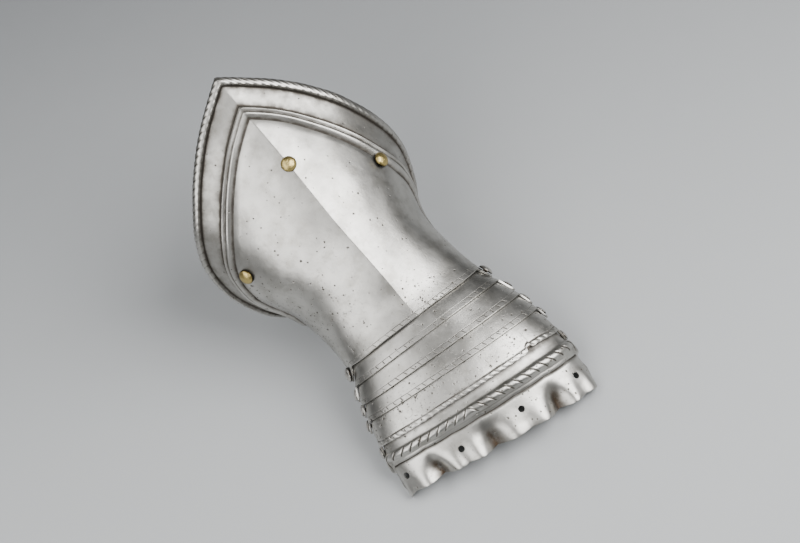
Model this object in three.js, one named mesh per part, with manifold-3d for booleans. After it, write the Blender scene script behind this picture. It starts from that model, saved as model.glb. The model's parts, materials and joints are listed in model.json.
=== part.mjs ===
// Armoured gauntlet for the right hand: a pointed, flaring steel cuff, four metacarpal lames
// and a knuckle plate with a roped ridge and a scalloped finger edge, joined by side rivets.
// Millimetres, +Z up, fingers toward -Y, lying palm down on its own lower edges.

import * as THREE from 'three';
import Module from 'manifold-3d';

const wasm = await Module();
wasm.setup();

const RAD = Math.PI / 180;

// Sheet and running clearances
const CUFF_SHEET = 1.2;
const LAME_SHEET = 1.0;
const RUNNING_GAP = 0.7;
const HIDDEN_SLOPE = 0.19;

// Form of the arm: one row per cross-section, listed from the fingers to the point of the cuff.
// at: station along the arm, wrist edge of the cuff near 0
// x, y, z: centre of the section; lean: crown tipped toward the fingers, degrees
// turn: thumb side swung toward the fingers, degrees; half: half width
// rise: crown above the centre; drop: underside below it; keel: extra height of the medial ridge
// skew: the ridge drawn over to the thumb side
const SECTION_COLUMNS = [
  'at', 'x', 'y', 'z', 'lean', 'turn', 'half', 'rise', 'drop', 'keel', 'skew',
];
const SECTIONS = [
  [-88.0, -1.8, -84.6, -19.3, 22.6, 6.2, 52.8, 15.0, 14, 0.0, 0.0],
  [-62.0, 0.3, -60.0, -12.9, 23.8, 6.6, 57.4, 20.9, 18, 0.0, 0.0],
  [-47.0, 1.6, -44.8, -9.3, 24.6, 6.4, 57.4, 23.9, 20, 0.0, 0.0],
  [-32.0, 2.8, -30.0, -5.9, 24.8, 5.8, 55.8, 25.2, 22, 0.0, 0.0],
  [-21.0, 3.5, -19.7, -3.8, 24.0, 4.4, 52.9, 25.2, 23, 0.0, 0.0],
  [-10.0, 3.4, -9.3, -1.8, 22.8, 2.8, 50.0, 24.6, 24, 0.0, 0.0],
  [0.0, 3.3, 0.0, 0.0, 22.2, 2.0, 46.1, 24.3, 25, 0.3, 0.0],
  [16.0, 2.8, 15.1, -0.4, 22.6, 1.2, 43.5, 25.8, 28, 2.3, 0.3],
  [40.0, 1.4, 36.0, -1.4, 24.0, 0.0, 43.0, 33.5, 35, 4.7, 1.2],
  [58.0, -0.2, 52.7, -1.8, 23.6, -0.7, 45.4, 39.9, 41, 5.7, 2.0],
  [75.0, -1.6, 69.4, -1.9, 22.0, -1.0, 53.0, 45.6, 46, 6.3, 2.6],
  [120.0, -2.1, 115.4, -0.7, 15.0, -0.6, 66.2, 59.4, 58, 7.4, 3.2],
  [168.0, -0.8, 165.5, 0.0, 8.5, 0.0, 73.4, 69.4, 66, 8.0, 1.0],
];
const CROWN_SQUARENESS = 2.2;
const UNDER_SQUARENESS = 2.5;

// Rest attitude on the floor
const REST_PITCH = 10.92;
const REST_ROLL = -1.22;

// Cuff rim: station of the outer edge at each angle round from the crown, on the
// little-finger side and on the thumb side
const RIM_COLUMNS = ['angle', 'little', 'thumb'];
const RIM = [
  [0, 166.4, 166.4],
  [18, 153.4, 152.6],
  [37, 137.1, 135.6],
  [50, 126.0, 122.6],
  [60, 118.3, 112.8],
  [79, 100.8, 96.4],
  [95, 81.4, 79.6],
  [120, 65.0, 64.6],
  [150, 57.5, 57.5],
  [180, 56.0, 56.0],
];
// Cuff wrist edge: station at each angle; it dips toward the fingers to hold the wrist rivets
const WRIST_EDGE = [
  [0, 5.4],
  [30, 5.5],
  [62, 5.4],
  [75, 3.6],
  [85, -2.2],
  [94, -1.6],
  [110, 7.0],
  [140, 17.0],
  [180, 20.0],
];

// Border of the cuff: height of the metal at each distance in from the outer edge
const BORDER_COLUMNS = ['in', 'height'];
const BEAD_RADIUS = 2.4;
const BEAD_HEIGHT = 2.0;
const THUMB_SIDE_WIDER = 0.22;
const BORDER = [
  [4.8, 1.9],
  [14.2, 0.0],
  [15.0, 1.0],
  [16.1, 1.9],
  [17.2, 1.1],
  [18.2, 1.6],
  [19.8, 0.6],
  [20.7, -0.3],
  [21.6, 0.0],
];
const BORDER_INSIDE = [
  [4.6, 1.9],
  [14.2, 0.0],
  [17.2, 0.7],
  [20.7, -0.3],
];

// Plates from wrist to fingers. tuck: hidden upper edge at the crown, edge: visible lower edge
// at the crown, pivot, round: station and angle of the rivets to the plate above.
const PLATES = [
  { name: 'lame_1', tuck: 11.4, edge: -5.9, pivot: 1.8, round: 84.5 },
  { name: 'lame_2', tuck: 0.2, edge: -18.0, pivot: -10.7, round: 88 },
  { name: 'lame_3', tuck: -12.0, edge: -28.9, pivot: -21.2, round: 88 },
  { name: 'lame_4', tuck: -22.9, edge: -44.2, pivot: -31.4, round: 88 },
  { name: 'knuckle_plate', tuck: -38.0, edge: -79.4, pivot: -48.0, round: 87 },
];
const CUFF_EDGE = 5.4;
const LOBE_REACH = 4.6;
const LAME_END_ANGLE = 97;
const TAB_STATION = -75.5;
const CORNER_RINGS = [0.5, 1.6];

// Knuckle plate: height of the metal at each station past its tucked part
const KNUCKLE_PROFILE = [
  [-44.2, -1.7],
  [-48.8, -0.9],
  [-50.2, -0.3],
  [-51.2, 1.2],
  [-53.2, 1.6],
  [-55.2, 1.1],
  [-56.4, -0.1],
  [-58.0, -0.2],
  [-59.3, -1.1],
  [-60.6, -0.2],
  [-66.0, 0.2],
  [-73.0, 0.7],
  [-79.4, 1.4],
];
// Finger openings of the flange: distance round the knuckles from the crown to the middle of
// each finger and to the valleys between, little finger first; station of the free edge there
// and of the finger's hole
const FINGER_COLUMNS = ['round', 'finger', 'edge', 'hole'];
const FINGERS = [
  [-70.0, -2.0, -74.2, 0],
  [-54.0, -1.5, -73.0, -63.6],
  [-37.6, -1.0, -73.4, 0],
  [-21.9, -0.5, -75.0, -66.6],
  [-5.2, 0.0, -76.2, 0],
  [15.0, 0.5, -77.6, -66.2],
  [34.2, 1.0, -78.4, 0],
  [49.8, 1.5, -79.0, -68.0],
  [67.0, 2.0, -78.0, 0],
];
const FLANGE_START = -60.5;
const VALLEY_DEPTH = 3.6;
const HOLE_DIAMETER = 3.6;

// Rivets
const RIVET_COLUMNS = ['head', 'height', 'shank', 'burr'];
const WRIST_RIVET = { head: 4.0, height: 2.2, shank: 1.3, burr: 2.3 };
const LAME_RIVET = { head: 3.2, height: 1.1, shank: 1.2, burr: 2.1 };
const BRASS_RIVET = { head: 4.3, height: 2.6, shank: 1.5, burr: 2.8 };
const RIVET_SEAT = 0.55;
const HOLE_CLEARANCE = 0.35;
const BRASS_RIVETS = [
  { name: 'brass_rivet_ridge', at: 115.2, angle: 0, lift: 0, below: 2.2 },
  { name: 'brass_rivet_thumb_side', at: 91.8, angle: 45.9, lift: 1.0, below: 1.9 },
  { name: 'brass_rivet_little_finger_side', at: 90.4, angle: -55.0, lift: 0.1, below: 1.0 },
];

// Natural cubic spline through rows of [x, y]
function spline(xs, ys) {
  const n = xs.length;
  const m = new Array(n).fill(0);
  const c = new Array(n).fill(0);
  const d = new Array(n).fill(0);
  for (let i = 1; i < n - 1; i++) {
    const h0 = xs[i] - xs[i - 1];
    const h1 = xs[i + 1] - xs[i];
    const rhs = 6 * ((ys[i + 1] - ys[i]) / h1 - (ys[i] - ys[i - 1]) / h0);
    const w = 2 * (h0 + h1) - h0 * c[i - 1];
    c[i] = h1 / w;
    d[i] = (rhs - h0 * d[i - 1]) / w;
  }
  for (let i = n - 2; i > 0; i--) m[i] = d[i] - c[i] * m[i + 1];
  return (x) => {
    let i = 0;
    while (i < n - 2 && x > xs[i + 1]) i++;
    const h = xs[i + 1] - xs[i];
    const a = xs[i + 1] - x;
    const b = x - xs[i];
    return (m[i] * a ** 3 + m[i + 1] * b ** 3) / (6 * h)
      + (ys[i] / h - (m[i] * h) / 6) * a + (ys[i + 1] / h - (m[i + 1] * h) / 6) * b;
  };
}

function polyline(rows) {
  const up = rows[0][0] < rows[rows.length - 1][0] ? rows : [...rows].reverse();
  return (x) => {
    if (x <= up[0][0]) return up[0][1];
    for (let i = 1; i < up.length; i++) {
      if (x <= up[i][0]) {
        const f = (x - up[i - 1][0]) / (up[i][0] - up[i - 1][0]);
        return up[i - 1][1] + f * (up[i][1] - up[i - 1][1]);
      }
    }
    return up[up.length - 1][1];
  };
}

const smooth = (a, b, x) => {
  const t = Math.min(1, Math.max(0, (x - a) / (b - a)));
  return t * t * (3 - 2 * t);
};

const stations = SECTIONS.map((row) => row[0]);
const column = {};
SECTION_COLUMNS.slice(1).forEach((name, k) => {
  column[name] = spline(stations, SECTIONS.map((row) => row[k + 1]));
});
const rimLittle = spline(RIM.map((r) => r[0]), RIM.map((r) => r[1]));
const rimThumb = spline(RIM.map((r) => r[0]), RIM.map((r) => r[2]));
const rimAt = (signed) => (signed < 0 ? rimLittle(-signed) : rimThumb(signed));
const wristAt = spline(WRIST_EDGE.map((r) => r[0]), WRIST_EDGE.map((r) => r[1]));
const fingerAt = spline(FINGERS.map((r) => r[0]), FINGERS.map((r) => r[1]));
const freeEdgeAt = spline(FINGERS.map((r) => r[0]), FINGERS.map((r) => r[2]));

// Point of the outer form at a station and an angle round from the crown, thumb side positive
function form(at, degrees) {
  const a = degrees * RAD;
  const s = Math.sin(a);
  const c = Math.cos(a);
  const n = c >= 0 ? CROWN_SQUARENESS : UNDER_SQUARENESS;
  const k = (Math.abs(s) ** n + Math.abs(c) ** n) ** (1 / n);
  const half = column.half(at);
  const u = (half * s) / k;
  let w = ((c >= 0 ? column.rise(at) : column.drop(at)) * c) / k;
  const toCrown = c > 0 ? 1 - Math.abs(u) / half : 0;
  w += column.keel(at) * toCrown ** 2;
  const across = u + column.skew(at) * toCrown ** 3;
  const lean = column.lean(at) * RAD;
  const turn = column.turn(at) * RAD;
  const back = -w * Math.sin(lean);
  return new THREE.Vector3(
    column.x(at) + across * Math.cos(turn) + back * Math.sin(turn),
    column.y(at) - across * Math.sin(turn) + back * Math.cos(turn),
    column.z(at) + w * Math.cos(lean),
  );
}

function normal(at, degrees) {
  const e = 0.05;
  const along = form(at + e, degrees).sub(form(at - e, degrees));
  const round = form(at, degrees + e).sub(form(at, degrees - e));
  return round.cross(along).normalize();
}

function onForm(at, degrees, height) {
  return form(at, degrees).addScaledVector(normal(at, degrees), height);
}

// Closed triangle solid from a list of equal loops of points
function loft(loops, ring, pairs) {
  const count = loops[0].length;
  const positions = [];
  loops.forEach((loop) => loop.forEach((p) => positions.push(p.x, p.y, p.z)));
  const index = [];
  const at = (i, j) => i * count + (j % count);
  const last = ring ? loops.length : loops.length - 1;
  for (let i = 0; i < last; i++) {
    const next = (i + 1) % loops.length;
    for (let j = 0; j < count; j++) {
      index.push(at(i, j), at(next, j), at(next, j + 1), at(i, j), at(next, j + 1), at(i, j + 1));
    }
  }
  if (!ring) {
    const end = loops.length - 1;
    pairs.forEach(([a, b, c, d]) => {
      index.push(at(0, a), at(0, b), at(0, c), at(0, a), at(0, c), at(0, d));
      index.push(at(end, a), at(end, c), at(end, b), at(end, a), at(end, d), at(end, c));
    });
  }
  return { positions, index };
}

function manifoldOf({ positions, index }) {
  const make = (triangles) => new wasm.Manifold(new wasm.Mesh({
    numProp: 3,
    vertProperties: new Float32Array(positions),
    triVerts: new Uint32Array(triangles),
  }));
  const solid = make(index);
  if (solid.volume() >= 0) return solid;
  const turned = [];
  for (let i = 0; i < index.length; i += 3) turned.push(index[i], index[i + 2], index[i + 1]);
  return make(turned);
}

function solidOf(geometry) {
  const source = geometry.index ? geometry.toNonIndexed() : geometry;
  const p = source.attributes.position;
  const keys = new Map();
  const positions = [];
  const index = [];
  for (let i = 0; i < p.count; i++) {
    const key = [p.getX(i), p.getY(i), p.getZ(i)].map((v) => Math.round(v * 1e4)).join(',');
    if (!keys.has(key)) {
      keys.set(key, positions.length / 3);
      positions.push(p.getX(i), p.getY(i), p.getZ(i));
    }
    index.push(keys.get(key));
  }
  const clean = [];
  for (let i = 0; i < index.length; i += 3) {
    const [a, b, c] = index.slice(i, i + 3);
    if (a !== b && b !== c && a !== c) clean.push(a, b, c);
  }
  return manifoldOf({ positions, index: clean });
}

// Round bar from one point to another, used as the tool for every hole
function bar(from, to, radius, segments = 10) {
  const length = from.distanceTo(to);
  const shape = new THREE.CylinderGeometry(radius, radius, length, segments);
  const turn = new THREE.Quaternion().setFromUnitVectors(
    new THREE.Vector3(0, 1, 0), to.clone().sub(from).normalize());
  shape.applyQuaternion(turn);
  const mid = from.clone().add(to).multiplyScalar(0.5);
  shape.translate(mid.x, mid.y, mid.z);
  return solidOf(shape);
}

// Rivet: domed head outside, shank through the sheets, burr inside
function rivet(size, foot, out, stack, segments) {
  const seat = RIVET_SEAT;
  const inner = -stack - seat;
  const profile = [[0, seat + size.height]];
  const steps = 3;
  for (let i = 1; i <= steps; i++) {
    const a = (i / steps) * 90 * RAD;
    profile.push([size.head * Math.sin(a), seat + size.height * Math.cos(a) * (i < steps ? 1 : 0)]);
  }
  profile.push([size.shank, seat], [size.shank, inner]);
  profile.push([size.burr, inner], [size.burr * 0.7, inner - 0.7], [0, inner - 0.8]);
  const shape = new THREE.LatheGeometry(
    profile.reverse().map(([x, y]) => new THREE.Vector2(x, y)), segments);
  shape.applyQuaternion(new THREE.Quaternion().setFromUnitVectors(new THREE.Vector3(0, 1, 0), out));
  shape.translate(foot.x, foot.y, foot.z);
  return solidOf(shape);
}

// Cuff: a closed profile carried right round the arm
const CUFF_ANGLES = [];
{
  const fine = [0, 3, 8, 14];
  const half = [];
  for (let a = 21; a <= 180; a += 8) half.push(a);
  const right = [...fine, ...half.filter((a) => a < 179)];
  const left = right.filter((a) => a > 0).map((a) => 360 - a).reverse();
  CUFF_ANGLES.push(...right, 180, ...left);
}

// How much longer a step across the border is, measured along the arm
function rimStretch(signed) {
  const side = signed < 0 ? -1 : 1;
  const a = Math.max(Math.abs(signed), 3);
  const here = rimAt(side * a);
  const slope = (rimAt(side * Math.min(a + 1, 180)) - rimAt(side * (a - 1))) / 2;
  const arc = form(here, a + 0.5).distanceTo(form(here, a - 0.5));
  return Math.min(1.35, Math.hypot(1, slope / arc));
}

function cuffLoop(degrees) {
  const signed = degrees > 180 ? degrees - 360 : degrees;
  const angle = Math.abs(signed);
  const wider = smooth(4, 42, signed) * (1 - smooth(100, 150, signed));
  const stretch = rimStretch(signed) * (1 + THUMB_SIDE_WIDER * wider);
  const rim = rimAt(signed);
  const wrist = wristAt(angle);
  const inward = (d) => rim - d * stretch;
  const loop = [];
  const bodyStart = inward(BORDER[BORDER.length - 1][0]);
  const body = [0, 0.12, 0.32, 0.6];
  body.forEach((f) => loop.push(onForm(wrist + f * (bodyStart - wrist), signed, 0)));
  [...BORDER].reverse().forEach(([d, h]) => loop.push(onForm(inward(d), signed, h)));
  [-40, 14, 68, 122, 176, 230].forEach((a) => {
    const d = BEAD_RADIUS * (1 - Math.sin(a * RAD));
    const h = BEAD_HEIGHT + BEAD_RADIUS * Math.cos(a * RAD);
    loop.push(onForm(inward(d), signed, h));
  });
  BORDER_INSIDE.forEach(([d, h]) => {
    loop.push(onForm(inward(d), signed, h - CUFF_SHEET));
  });
  [0.6, 0.32, 0.12, 0].forEach((f) => {
    loop.push(onForm(wrist + f * (bodyStart - wrist), signed, -CUFF_SHEET));
  });
  return loop;
}

// Angles of the rings of every plate: evenly spread over the back of the hand, closer at the
// sides where the edges step down round the rivets. All plates share them, so they nest.
const SPREAD_STATION = -30;
const SPREAD_END = 76;
const LAME_RINGS = 13;
const KNUCKLE_RINGS = 27;
const SIDE_ANGLES = [79.5, 83, 86, 89.5, 93, LAME_END_ANGLE];
function ringAngles(count) {
  const steps = 200;
  const length = [0];
  const angle = (i) => -SPREAD_END + (2 * SPREAD_END * i) / steps;
  for (let i = 1; i <= steps; i++) {
    const from = form(SPREAD_STATION, angle(i - 1));
    length.push(length[i - 1] + from.distanceTo(form(SPREAD_STATION, angle(i))));
  }
  const back = polyline(length.map((l, i) => [l, angle(i)]));
  const middle = Array.from({ length: count }, (_, i) => back((length[steps] * i) / (count - 1)));
  return [...SIDE_ANGLES.map((a) => -a).reverse(), ...middle, ...SIDE_ANGLES];
}

function plateEdges(k) {
  const plate = PLATES[k];
  const above = k === 0 ? CUFF_EDGE : PLATES[k - 1].edge;
  const nextPivot = k < 4 ? PLATES[k + 1].pivot : null;
  const sideTop = plate.pivot + LOBE_REACH;
  const sideLow = nextPivot === null ? TAB_STATION : nextPivot - LOBE_REACH;
  return { plate, above, sideTop, sideLow };
}

// Arc distance from the palm-side end of a plate, used to round its corners
function cornerInset(distance, radius) {
  if (distance >= radius) return 0;
  return radius - Math.sqrt(Math.max(0, radius * radius - (radius - distance) ** 2));
}

// Outer height of a plate below the form: level at its own lower edge, one step down where the
// plate above ends, then sloping on under that plate
function plateRun(k, angle) {
  const { plate, above, sideTop, sideLow } = plateEdges(k);
  const side = smooth(76, 86, Math.abs(angle));
  const top = plate.tuck + side * (sideTop - plate.tuck);
  const low = k === 4 ? freeEdgeAt(arcAt(angle)) : plate.edge;
  const edge = low + side * (sideLow - low);
  const over = above + side * (plate.pivot - LOBE_REACH - above);
  const step = (k === 0 ? CUFF_SHEET : LAME_SHEET) + RUNNING_GAP;
  const height = (at) => (at >= over
    ? -step - HIDDEN_SLOPE * (at - over)
    : -step * Math.max(0, (at - edge) / (over - edge)));
  return { above, top, edge, over, height };
}

function plateLoop(k, angle, total, along) {
  const { plate } = plateEdges(k);
  const run = plateRun(k, angle);
  const { above, over, height } = run;
  const toEnd = Math.min(along, total - along);
  const knuckle = k === 4;
  const top = run.top - cornerInset(toEnd, 3.2);
  const edge = run.edge + cornerInset(toEnd, knuckle ? 7 : 3.2);
  const outer = [];
  const inner = [];
  if (!knuckle) {
    [1, 0.66, 0.33, 0].forEach((f) => {
      const at = edge + f * (top - edge);
      outer.push(onForm(at, angle, height(at)));
      inner.push(onForm(at, angle, height(at) - LAME_SHEET));
    });
  } else {
    const wave = flangeWave(angle);
    const shift = over - above;
    const rows = [];
    rows.push([top, height(top)], [(top + over) / 2, height((top + over) / 2)]);
    const lastAt = PLATES[4].edge;
    KNUCKLE_PROFILE.forEach(([at, h], i) => {
      const f = (at - above) / (lastAt - above);
      const here = over + f * (edge - over);
      rows.push([here, h, at]);
    });
    rows.forEach(([at, h, nominal]) => {
      const lift = nominal === undefined ? 0 : wave * smooth(FLANGE_START, lastAt, nominal);
      outer.push(onForm(at, angle, h + lift));
      inner.push(onForm(at, angle, h + lift - LAME_SHEET));
    });
  }
  return [...outer, ...inner.reverse()];
}

// Height of the scalloped flange round the knuckles: a valley between fingers, a crease at each
function arcAt(angle) {
  const steps = 60;
  let run = 0;
  const sign = Math.sign(angle) || 1;
  for (let i = 1; i <= steps; i++) {
    run += form(-72, (angle * (i - 1)) / steps).distanceTo(form(-72, (angle * i) / steps));
  }
  return sign * run;
}
function flangeWave(angle) {
  const arc = arcAt(angle);
  const turn = 2 * Math.PI * fingerAt(arc);
  const fade = 1 - smooth(56, 66, Math.abs(arc));
  return VALLEY_DEPTH * fade * (-0.62 * Math.cos(turn) - 0.38 * Math.cos(2 * turn));
}

function plateSolid(k, count) {
  const at = k === 4 ? -62 : (PLATES[k].tuck + PLATES[k].edge) / 2;
  const angles = ringAngles(count);
  const last = angles.length - 1;
  const along = [0];
  for (let i = 1; i <= last; i++) {
    along.push(along[i - 1] + form(at, angles[i - 1]).distanceTo(form(at, angles[i])));
  }
  const total = along[last];
  const between = (d) => {
    const i = along.findIndex((v) => v > d);
    const f = (d - along[i - 1]) / (along[i] - along[i - 1]);
    return { angle: angles[i - 1] + f * (angles[i] - angles[i - 1]), along: d };
  };
  const rings = angles.map((angle, i) => ({ angle, along: along[i] }));
  CORNER_RINGS.forEach((d) => rings.push(between(d), between(total - d)));
  rings.sort((a, b) => a.along - b.along);
  const loops = rings.map((r) => plateLoop(k, r.angle, total, r.along));
  const n = loops[0].length / 2;
  const pairs = [];
  for (let j = 0; j < n - 1; j++) pairs.push([j, j + 1, 2 * n - 2 - j, 2 * n - 1 - j]);
  return manifoldOf(loft(loops, false, pairs));
}

// Side rivets: the axis of every hinge passes through its pair
const hinges = PLATES.map((plate, k) => {
  const pair = [1, -1].map((side) => {
    const angle = side * plate.round;
    const outer = (at, a) => onForm(at, a, k === 0 ? 0 : plateRun(k - 1, a).height(at));
    const foot = outer(plate.pivot, angle);
    const along = outer(plate.pivot + 0.5, angle).sub(outer(plate.pivot - 0.5, angle));
    const round = outer(plate.pivot, angle + 0.5).sub(outer(plate.pivot, angle - 0.5));
    const out = round.cross(along).normalize();
    const parent = k === 0 ? 0 : plateRun(k - 1, angle).height(plate.pivot);
    const stack = parent - plateRun(k, angle).height(plate.pivot) + LAME_SHEET;
    return { foot, out, stack };
  });
  return { k, pair };
});

// Finger holes along the flange
function angleAtArc(arc) {
  let low = -96;
  let high = 96;
  for (let i = 0; i < 40; i++) {
    const mid = (low + high) / 2;
    if (arcAt(mid) < arc) low = mid;
    else high = mid;
  }
  return (low + high) / 2;
}

const steel = new THREE.MeshStandardMaterial({ color: 0xb9b9b4, roughness: 0.32, metalness: 1 });
const darkSteel = new THREE.MeshStandardMaterial({ color: 0x8f8f8b, roughness: 0.4, metalness: 1 });
const brass = new THREE.MeshStandardMaterial({ color: 0xc9a557, roughness: 0.35, metalness: 1 });

const bodies = [];
const keep = (name, solid, material) => bodies.push({ name, solid, material });

let cuff = manifoldOf(loft(CUFF_ANGLES.map(cuffLoop), true));
const plates = PLATES.map((plate, k) => plateSolid(k, k === 4 ? KNUCKLE_RINGS : LAME_RINGS));

hinges.forEach(({ k, pair }) => {
  const size = k === 0 ? WRIST_RIVET : LAME_RIVET;
  pair.forEach(({ foot, out, stack }, side) => {
    const from = foot.clone().addScaledVector(out, 4);
    const to = foot.clone().addScaledVector(out, -7);
    const hole = bar(from, to, size.shank + HOLE_CLEARANCE);
    if (k === 0) cuff = cuff.subtract(hole);
    else plates[k - 1] = plates[k - 1].subtract(hole);
    plates[k] = plates[k].subtract(hole);
    const plate = k === 0 ? 'wrist' : PLATES[k].name;
    const edge = side === 0 ? 'thumb_side' : 'little_finger_side';
    keep(`rivet_${plate}_${edge}`, rivet(size, foot, out, stack + 0.5, 10), darkSteel);
  });
});

BRASS_RIVETS.forEach(({ name, at, angle, lift, below }) => {
  const out = normal(at, angle + 2).add(normal(at, angle - 2)).normalize();
  const foot = onForm(at, angle, lift);
  const outside = foot.clone().addScaledVector(out, 6);
  const inside = foot.clone().addScaledVector(out, -8);
  cuff = cuff.subtract(bar(outside, inside, BRASS_RIVET.shank + HOLE_CLEARANCE));
  keep(name, rivet(BRASS_RIVET, foot, out, CUFF_SHEET + below, 12), brass);
});

FINGERS.filter((r) => r[3] !== 0).forEach(([round, , , station]) => {
  const angle = angleAtArc(round);
  const foot = form(station, angle);
  const out = normal(station, angle);
  plates[4] = plates[4].subtract(bar(
    foot.clone().addScaledVector(out, 8), foot.clone().addScaledVector(out, -8), HOLE_DIAMETER / 2));
});

keep('cuff', cuff, steel);
PLATES.forEach((plate, k) => keep(plate.name, plates[k], steel));

// Lay the gauntlet down: pitch and roll it, then stand it on the floor over the origin
const attitude = new THREE.Matrix4().makeRotationY(REST_ROLL * RAD)
  .multiply(new THREE.Matrix4().makeRotationX(REST_PITCH * RAD));

function geometryOf(solid) {
  const mesh = solid.getMesh();
  const geometry = new THREE.BufferGeometry();
  const points = new Float32Array(mesh.numVert * 3);
  for (let i = 0; i < mesh.numVert; i++) {
    for (let k = 0; k < 3; k++) points[i * 3 + k] = mesh.vertProperties[i * mesh.numProp + k];
  }
  geometry.setAttribute('position', new THREE.BufferAttribute(points, 3));
  geometry.setIndex(Array.from(mesh.triVerts));
  geometry.applyMatrix4(attitude);
  return geometry;
}

const gauntlet = new THREE.Group();
gauntlet.name = 'armoured_gauntlet';
const bounds = new THREE.Box3();
bodies.forEach(({ name, solid, material }) => {
  const mesh = new THREE.Mesh(geometryOf(solid), material.clone());
  mesh.name = name;
  mesh.geometry.computeBoundingBox();
  bounds.union(mesh.geometry.boundingBox);
  gauntlet.add(mesh);
});
const shift = new THREE.Vector3(
  -(bounds.min.x + bounds.max.x) / 2, -(bounds.min.y + bounds.max.y) / 2, -bounds.min.z);
gauntlet.children.forEach((mesh) => {
  mesh.geometry.translate(shift.x, shift.y, shift.z);
  mesh.geometry.computeVertexNormals();
});

export default gauntlet;
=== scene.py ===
# %% [markdown]
# # An armoured gauntlet for the right hand
# The real object is a pointed steel cuff, four narrow plates over the back of the hand and a
# knuckle plate with a scalloped edge for the fingers. All of it is hammered sheet about a
# millimetre thick, held by rivets at both sides so that the hand can bend.
# This lesson builds every plate as a fine mesh on the same form as the fixed CAD frame, and
# gives it the file-cut ropework, engraved lines, pits and brown patina of old polished steel.
# The frame is loaded first. Its box is kept, because nothing here may change its size.

import json
import math

import bpy
import numpy as np
from mathutils import Matrix, Vector


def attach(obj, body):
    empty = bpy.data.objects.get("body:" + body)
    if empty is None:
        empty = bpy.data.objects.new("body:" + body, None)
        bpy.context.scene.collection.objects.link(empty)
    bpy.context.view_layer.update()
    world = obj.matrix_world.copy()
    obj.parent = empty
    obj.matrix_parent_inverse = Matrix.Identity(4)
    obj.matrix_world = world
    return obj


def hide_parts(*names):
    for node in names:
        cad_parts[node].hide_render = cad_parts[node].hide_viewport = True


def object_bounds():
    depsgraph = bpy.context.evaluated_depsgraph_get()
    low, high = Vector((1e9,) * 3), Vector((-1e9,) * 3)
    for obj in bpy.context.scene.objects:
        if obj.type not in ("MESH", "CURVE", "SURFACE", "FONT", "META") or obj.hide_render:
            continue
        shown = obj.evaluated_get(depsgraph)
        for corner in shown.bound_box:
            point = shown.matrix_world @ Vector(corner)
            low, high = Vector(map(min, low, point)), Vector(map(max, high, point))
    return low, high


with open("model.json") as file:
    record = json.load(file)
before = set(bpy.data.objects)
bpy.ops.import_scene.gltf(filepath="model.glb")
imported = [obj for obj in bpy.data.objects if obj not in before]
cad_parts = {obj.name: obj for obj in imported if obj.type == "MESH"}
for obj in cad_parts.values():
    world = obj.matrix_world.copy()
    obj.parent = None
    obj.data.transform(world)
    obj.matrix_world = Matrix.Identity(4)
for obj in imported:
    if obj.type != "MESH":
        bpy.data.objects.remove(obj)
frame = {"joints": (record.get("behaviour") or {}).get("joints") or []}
cad_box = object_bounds()
print("CAD box in metres:", [[round(v, 4) for v in corner] for corner in cad_box])

# %% [markdown]
# ## The form under every plate
# An armourer works all the plates over one shape: the arm and hand inside them. So the shape
# comes first, as a row of cross-sections from the knuckles to the point of the cuff. Lofting
# by hand through curves would give each plate its own small errors; one function that all
# plates share keeps them nested, a running gap apart, as they are on the real thing.
# Sizes are in millimetres, fingers toward -Y, thumb toward +X, and become metres at the end.

# %% Sections of the arm and hand
MM = 0.001
RAD = math.pi / 180

# at: place along the arm; x, y, z: centre; lean, turn: tilt of the section in degrees
# half: half width; rise, drop: height above and below the centre
# keel: extra height of the medial ridge; skew: the ridge drawn toward the thumb
SECTION_COLUMNS = ["at", "x", "y", "z", "lean", "turn", "half", "rise", "drop", "keel", "skew"]
SECTIONS = [
    [-88, -1.8, -84.6, -19.3, 22.6, 6.2, 52.8, 15.0, 14, 0.0, 0.0],
    [-62, 0.3, -60.0, -12.9, 23.8, 6.6, 57.4, 20.9, 18, 0.0, 0.0],
    [-47, 1.6, -44.8, -9.3, 24.6, 6.4, 57.4, 23.9, 20, 0.0, 0.0],
    [-32, 2.8, -30.0, -5.9, 24.8, 5.8, 55.8, 25.2, 22, 0.0, 0.0],
    [-21, 3.5, -19.7, -3.8, 24.0, 4.4, 52.9, 25.2, 23, 0.0, 0.0],
    [-10, 3.4, -9.3, -1.8, 22.8, 2.8, 50.0, 24.6, 24, 0.0, 0.0],
    [0, 3.3, 0.0, 0.0, 22.2, 2.0, 46.1, 24.3, 25, 0.3, 0.0],
    [16, 2.8, 15.1, -0.4, 22.6, 1.2, 43.5, 25.8, 28, 2.3, 0.3],
    [40, 1.4, 36.0, -1.4, 24.0, 0.0, 43.0, 33.5, 35, 4.7, 1.2],
    [58, -0.2, 52.7, -1.8, 23.6, -0.7, 45.4, 39.9, 41, 5.7, 2.0],
    [75, -1.6, 69.4, -1.9, 22.0, -1.0, 53.0, 45.6, 46, 6.3, 2.6],
    [120, -2.1, 115.4, -0.7, 15.0, -0.6, 66.2, 59.4, 58, 7.4, 3.2],
    [168, -0.8, 165.5, 0.0, 8.5, 0.0, 73.4, 69.4, 66, 8.0, 1.0],
]
CROWN_SQUARENESS = 2.2
UNDER_SQUARENESS = 2.5


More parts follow.
